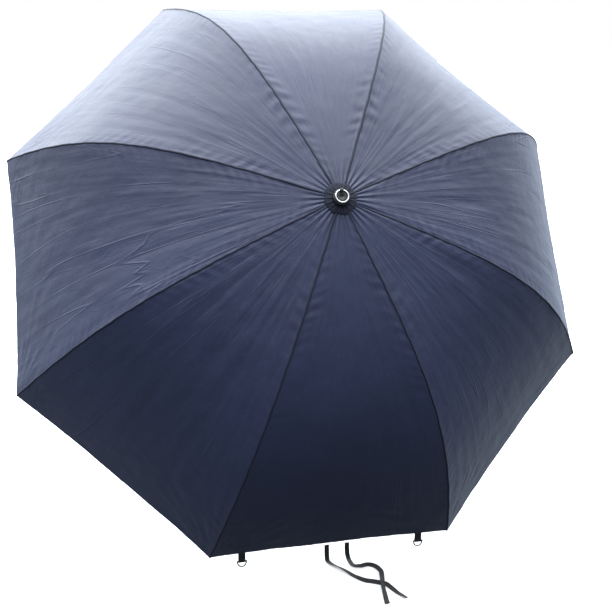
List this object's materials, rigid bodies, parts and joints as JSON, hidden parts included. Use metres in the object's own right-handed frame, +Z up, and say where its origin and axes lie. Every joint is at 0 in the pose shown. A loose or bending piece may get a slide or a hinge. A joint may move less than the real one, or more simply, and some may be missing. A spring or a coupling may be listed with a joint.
{
  "type": "fishing umbrella",
  "caption": "Large dome umbrella on a spiked, telescopic, tilting pole, with hinged ribs and stretchers on a sliding runner, a crown ring, hem D-rings and tie tapes.",
  "frame": {"origin": "where the vertical lower pole meets the ground, on the pole axis", "axes": "+Z up along the lower pole; the head leans toward -Y, so the outside of the dome faces -Y; +X to the right seen from the front"},
  "size_m": [1.8672, 1.4345, 1.9343],
  "materials": {
    "rib_rod": "satin drawn steel",
    "stretcher": "satin drawn steel",
    "black_plastic": "fine moulded grain",
    "cap_plastic": "satin",
    "pole_tube": "anodised satin",
    "steel": "zinc plated",
    "chrome_ring": "bright plated",
    "cover": "coated woven nylon, slight sheen",
    "patch": "coated woven nylon, gathered",
    "webbing": "flat woven tape",
    "dring": "satin black"
  },
  "bodies": {
    "pole_base": {"ground_spike": "steel", "lower_tube": "pole_tube", "height_collar": "black_plastic"},
    "height_screw": {"height_screw": "black_plastic"},
    "mast": {"mid_tube": "pole_tube", "knuckle_fork": "black_plastic", "tilt_bolt": "steel"},
    "tilt_knob": {"tilt_knob": "black_plastic"},
    "head": {"knuckle_tongue": "black_plastic", "shaft": "pole_tube", "notch_hub": "black_plastic", "notch_wire": "steel", "canopy": "cover", "crown_patch": "patch", "crown_cap": "cap_plastic", "ring_lug": "black_plastic"},
    "runner": {"runner": "black_plastic"},
    "runner_screw": {"runner_screw": "black_plastic"},
    "top_ring": {"top_ring": "chrome_ring"},
    "inner_1": {"rib_inner_1": "rib_rod"},
    "outer_1": {"rib_outer_1": "rib_rod", "rib_tip_1": "black_plastic"},
    "strut_1": {"stretcher_1": "stretcher"},
    "inner_2": {"rib_inner_2": "rib_rod"},
    "outer_2": {"rib_outer_2": "rib_rod", "rib_tip_2": "black_plastic"},
    "strut_2": {"stretcher_2": "stretcher"},
    "inner_3": {"rib_inner_3": "rib_rod"},
    "outer_3": {"rib_outer_3": "rib_rod", "rib_tip_3": "black_plastic"},
    "strut_3": {"stretcher_3": "stretcher"},
    "inner_4": {"rib_inner_4": "rib_rod"},
    "outer_4": {"rib_outer_4": "rib_rod", "rib_tip_4": "black_plastic"},
    "strut_4": {"stretcher_4": "stretcher"},
    "inner_5": {"rib_inner_5": "rib_rod"},
    "outer_5": {"rib_outer_5": "rib_rod", "rib_tip_5": "black_plastic"},
    "strut_5": {"stretcher_5": "stretcher"},
    "inner_6": {"rib_inner_6": "rib_rod"},
    "outer_6": {"rib_outer_6": "rib_rod", "rib_tip_6": "black_plastic"},
    "strut_6": {"stretcher_6": "stretcher"},
    "inner_7": {"rib_inner_7": "rib_rod"},
    "outer_7": {"rib_outer_7": "rib_rod", "rib_tip_7": "black_plastic"},
    "strut_7": {"stretcher_7": "stretcher"},
    "inner_8": {"rib_inner_8": "rib_rod"},
    "outer_8": {"rib_outer_8": "rib_rod", "rib_tip_8": "black_plastic"},
    "strut_8": {"stretcher_8": "stretcher"},
    "tab_left": {"dring_tab_left": "webbing"},
    "ring_left": {"dring_left": "dring"},
    "tie_left": {"tie_left": "webbing"},
    "tab_right": {"dring_tab_right": "webbing"},
    "ring_right": {"dring_right": "dring"},
    "tie_right": {"tie_right": "webbing"}
  },
  "joints": [
    {"name": "pole_extend", "type": "slide", "parent": "pole_base", "child": "mast", "axis": [0, 0, 1], "range_m": [0, 0.2]},
    {"name": "height_screw_turn", "type": "hinge", "parent": "pole_base", "child": "height_screw", "pos_m": [0.03, 0, 0.392], "axis": [1, 0, 0], "range_deg": [-180, 180]},
    {"name": "head_tilt", "type": "hinge", "parent": "mast", "child": "head", "pos_m": [0, 0, 0.5], "axis": [1, 0, 0], "range_deg": [-60.93, 0]},
    {"name": "tilt_knob_turn", "type": "hinge", "parent": "mast", "child": "tilt_knob", "pos_m": [0.02, 0, 0.5], "axis": [1, 0, 0], "range_deg": [-180, 180]},
    {"name": "canopy_fold", "type": "hinge", "parent": "head", "child": "inner_1", "pos_m": [-0.00842, -1.17006, 1.1737], "axis": [-0.9239, -0.1859, -0.3345], "range_deg": [0, 76.76], "deforming": ["canopy"]},
    {"name": "rib_flex_1", "type": "hinge", "parent": "inner_1", "child": "outer_1", "pos_m": [-0.18143, -0.90148, 1.50228], "axis": [-0.9239, -0.1859, -0.3345], "range_deg": [-36.04, 0.5]},
    {"name": "strut_pivot_1", "type": "hinge", "parent": "inner_1", "child": "strut_1", "pos_m": [-0.18143, -0.90148, 1.50228], "axis": [-0.9239, -0.1859, -0.3345], "range_deg": [-154.02, 0.5]},
    {"name": "rib_fold_2", "type": "hinge", "parent": "head", "child": "inner_2", "pos_m": [0.00842, -1.17006, 1.1737], "axis": [-0.9239, 0.1859, 0.3345], "range_deg": [-0.5, 77.26]},
    {"name": "rib_flex_2", "type": "hinge", "parent": "inner_2", "child": "outer_2", "pos_m": [0.18143, -0.90148, 1.50228], "axis": [-0.9239, 0.1859, 0.3345], "range_deg": [-36.04, 0.5]},
    {"name": "strut_pivot_2", "type": "hinge", "parent": "inner_2", "child": "strut_2", "pos_m": [0.18143, -0.90148, 1.50228], "axis": [-0.9239, 0.1859, 0.3345], "range_deg": [-154.02, 0.5]},
    {"name": "rib_fold_3", "type": "hinge", "parent": "head", "child": "inner_3", "pos_m": [0.02033, -1.17585, 1.16329], "axis": [-0.3827, 0.4489, 0.8075], "range_deg": [-0.5, 77.26]},
    {"name": "rib_flex_3", "type": "hinge", "parent": "inner_3", "child": "outer_3", "pos_m": [0.43801, -1.02614, 1.27802], "axis": [-0.3827, 0.4489, 0.8075], "range_deg": [-36.04, 0.5]},
    {"name": "strut_pivot_3", "type": "hinge", "parent": "inner_3", "child": "strut_3", "pos_m": [0.43801, -1.02614, 1.27802], "axis": [-0.3827, 0.4489, 0.8075], "range_deg": [-154.02, 0.5]},
    {"name": "rib_fold_4", "type": "hinge", "parent": "head", "child": "inner_4", "pos_m": [0.02033, -1.18403, 1.14858], "axis": [0.3827, 0.4489, 0.8075], "range_deg": [-0.5, 77.26]},
    {"name": "rib_flex_4", "type": "hinge", "parent": "inner_4", "child": "outer_4", "pos_m": [0.43801, -1.20245, 0.96087], "axis": [0.3827, 0.4489, 0.8075], "range_deg": [-36.04, 0.5]},
    {"name": "strut_pivot_4", "type": "hinge", "parent": "inner_4", "child": "strut_4", "pos_m": [0.43801, -1.20245, 0.96087], "axis": [0.3827, 0.4489, 0.8075], "range_deg": [-154.02, 0.5]},
    {"name": "rib_fold_5", "type": "hinge", "parent": "head", "child": "inner_5", "pos_m": [0.00842, -1.18981, 1.13817], "axis": [0.9239, 0.1859, 0.3345], "range_deg": [-0.5, 77.26]},
    {"name": "rib_flex_5", "type": "hinge", "parent": "inner_5", "child": "outer_5", "pos_m": [0.18143, -1.32711, 0.73661], "axis": [0.9239, 0.1859, 0.3345], "range_deg": [-36.04, 0.5]},
    {"name": "strut_pivot_5", "type": "hinge", "parent": "inner_5", "child": "strut_5", "pos_m": [0.18143, -1.32711, 0.73661], "axis": [0.9239, 0.1859, 0.3345], "range_deg": [-154.02, 0.5]},
    {"name": "rib_fold_6", "type": "hinge", "parent": "head", "child": "inner_6", "pos_m": [-0.00842, -1.18981, 1.13817], "axis": [0.9239, -0.1859, -0.3345], "range_deg": [-0.5, 77.26]},
    {"name": "rib_flex_6", "type": "hinge", "parent": "inner_6", "child": "outer_6", "pos_m": [-0.18143, -1.32711, 0.73661], "axis": [0.9239, -0.1859, -0.3345], "range_deg": [-36.04, 0.5]},
    {"name": "strut_pivot_6", "type": "hinge", "parent": "inner_6", "child": "strut_6", "pos_m": [-0.18143, -1.32711, 0.73661], "axis": [0.9239, -0.1859, -0.3345], "range_deg": [-154.02, 0.5]},
    {"name": "rib_fold_7", "type": "hinge", "parent": "head", "child": "inner_7", "pos_m": [-0.02033, -1.18403, 1.14858], "axis": [0.3827, -0.4489, -0.8075], "range_deg": [-0.5, 77.26]},
    {"name": "rib_flex_7", "type": "hinge", "parent": "inner_7", "child": "outer_7", "pos_m": [-0.43801, -1.20245, 0.96087], "axis": [0.3827, -0.4489, -0.8075], "range_deg": [-36.04, 0.5]},
    {"name": "strut_pivot_7", "type": "hinge", "parent": "inner_7", "child": "strut_7", "pos_m": [-0.43801, -1.20245, 0.96087], "axis": [0.3827, -0.4489, -0.8075], "range_deg": [-154.02, 0.5]},
    {"name": "rib_fold_8", "type": "hinge", "parent": "head", "child": "inner_8", "pos_m": [-0.02033, -1.17585, 1.16329], "axis": [-0.3827, -0.4489, -0.8075], "range_deg": [-0.5, 77.26]},
    {"name": "rib_flex_8", "type": "hinge", "parent": "inner_8", "child": "outer_8", "pos_m": [-0.43801, -1.02614, 1.27802], "axis": [-0.3827, -0.4489, -0.8075], "range_deg": [-36.04, 0.5]},
    {"name": "strut_pivot_8", "type": "hinge", "parent": "inner_8", "child": "strut_8", "pos_m": [-0.43801, -1.02614, 1.27802], "axis": [-0.3827, -0.4489, -0.8075], "range_deg": [-154.02, 0.5]},
    {"name": "runner_slide", "type": "slide", "parent": "head", "child": "runner", "axis": [0, 0.874, -0.4859], "range_m": [-0.002, 0.7684]},
    {"name": "runner_screw_turn", "type": "hinge", "parent": "runner", "child": "runner_screw", "pos_m": [0.025, -1.01544, 1.06449], "axis": [1, 0, 0], "range_deg": [-180, 180]},
    {"name": "top_ring_swing", "type": "hinge", "parent": "head", "child": "top_ring", "pos_m": [0, -1.19409, 1.1844], "axis": [-1, 0, 0], "range_deg": [0, 120]},
    {"name": "tab_gather_left", "type": "slide", "parent": "outer_6", "child": "tab_left", "axis": [-0.988, 0.0751, 0.1352], "range_m": [-0.002, 0.0837]},
    {"name": "dring_swing_left", "type": "hinge", "parent": "tab_left", "child": "ring_left", "pos_m": [-0.28651, -1.11469, 0.02806], "axis": [1, 0, 0], "range_deg": [-50, 50]},
    {"name": "tab_gather_right", "type": "slide", "parent": "outer_5", "child": "tab_right", "axis": [0.988, 0.0751, 0.1352], "range_m": [-0.002, 0.0837]},
    {"name": "dring_swing_right", "type": "hinge", "parent": "tab_right", "child": "ring_right", "pos_m": [0.28651, -1.11469, 0.02806], "axis": [1, 0, 0], "range_deg": [-50, 50]},
    {"name": "tie_gather_left", "type": "slide", "parent": "outer_5", "child": "tie_left", "axis": [0.9239, 0.1859, 0.3345], "range_m": [-0.002, 0.2633], "deforming": ["tie_left"]},
    {"name": "tie_gather_right", "type": "slide", "parent": "outer_5", "child": "tie_right", "axis": [0.9239, 0.1859, 0.3345], "range_m": [-0.002, 0.2206], "deforming": ["tie_right"]}
  ],
  "couplings": [
    {"joint": "rib_flex_1", "follows": "canopy_fold", "ratio": -0.463},
    {"joint": "strut_pivot_1", "follows": "canopy_fold", "ratio": -2},
    {"joint": "rib_fold_2", "follows": "canopy_fold", "ratio": 1},
    {"joint": "rib_flex_2", "follows": "canopy_fold", "ratio": -0.463},
    {"joint": "strut_pivot_2", "follows": "canopy_fold", "ratio": -2},
    {"joint": "rib_fold_3", "follows": "canopy_fold", "ratio": 1},
    {"joint": "rib_flex_3", "follows": "canopy_fold", "ratio": -0.463},
    {"joint": "strut_pivot_3", "follows": "canopy_fold", "ratio": -2},
    {"joint": "rib_fold_4", "follows": "canopy_fold", "ratio": 1},
    {"joint": "rib_flex_4", "follows": "canopy_fold", "ratio": -0.463},
    {"joint": "strut_pivot_4", "follows": "canopy_fold", "ratio": -2},
    {"joint": "rib_fold_5", "follows": "canopy_fold", "ratio": 1},
    {"joint": "rib_flex_5", "follows": "canopy_fold", "ratio": -0.463},
    {"joint": "strut_pivot_5", "follows": "canopy_fold", "ratio": -2},
    {"joint": "rib_fold_6", "follows": "canopy_fold", "ratio": 1},
    {"joint": "rib_flex_6", "follows": "canopy_fold", "ratio": -0.463},
    {"joint": "strut_pivot_6", "follows": "canopy_fold", "ratio": -2},
    {"joint": "rib_fold_7", "follows": "canopy_fold", "ratio": 1},
    {"joint": "rib_flex_7", "follows": "canopy_fold", "ratio": -0.463},
    {"joint": "strut_pivot_7", "follows": "canopy_fold", "ratio": -2},
    {"joint": "rib_fold_8", "follows": "canopy_fold", "ratio": 1},
    {"joint": "rib_flex_8", "follows": "canopy_fold", "ratio": -0.463},
    {"joint": "strut_pivot_8", "follows": "canopy_fold", "ratio": -2},
    {"joint": "runner_slide", "follows": "canopy_fold", "m_per_rad": 0.57054},
    {"joint": "tab_gather_left", "follows": "canopy_fold", "m_per_rad": 0.0602},
    {"joint": "tab_gather_right", "follows": "canopy_fold", "m_per_rad": 0.0602},
    {"joint": "tie_gather_left", "follows": "canopy_fold", "m_per_rad": 0.1943},
    {"joint": "tie_gather_right", "follows": "canopy_fold", "m_per_rad": 0.16244}
  ]
}
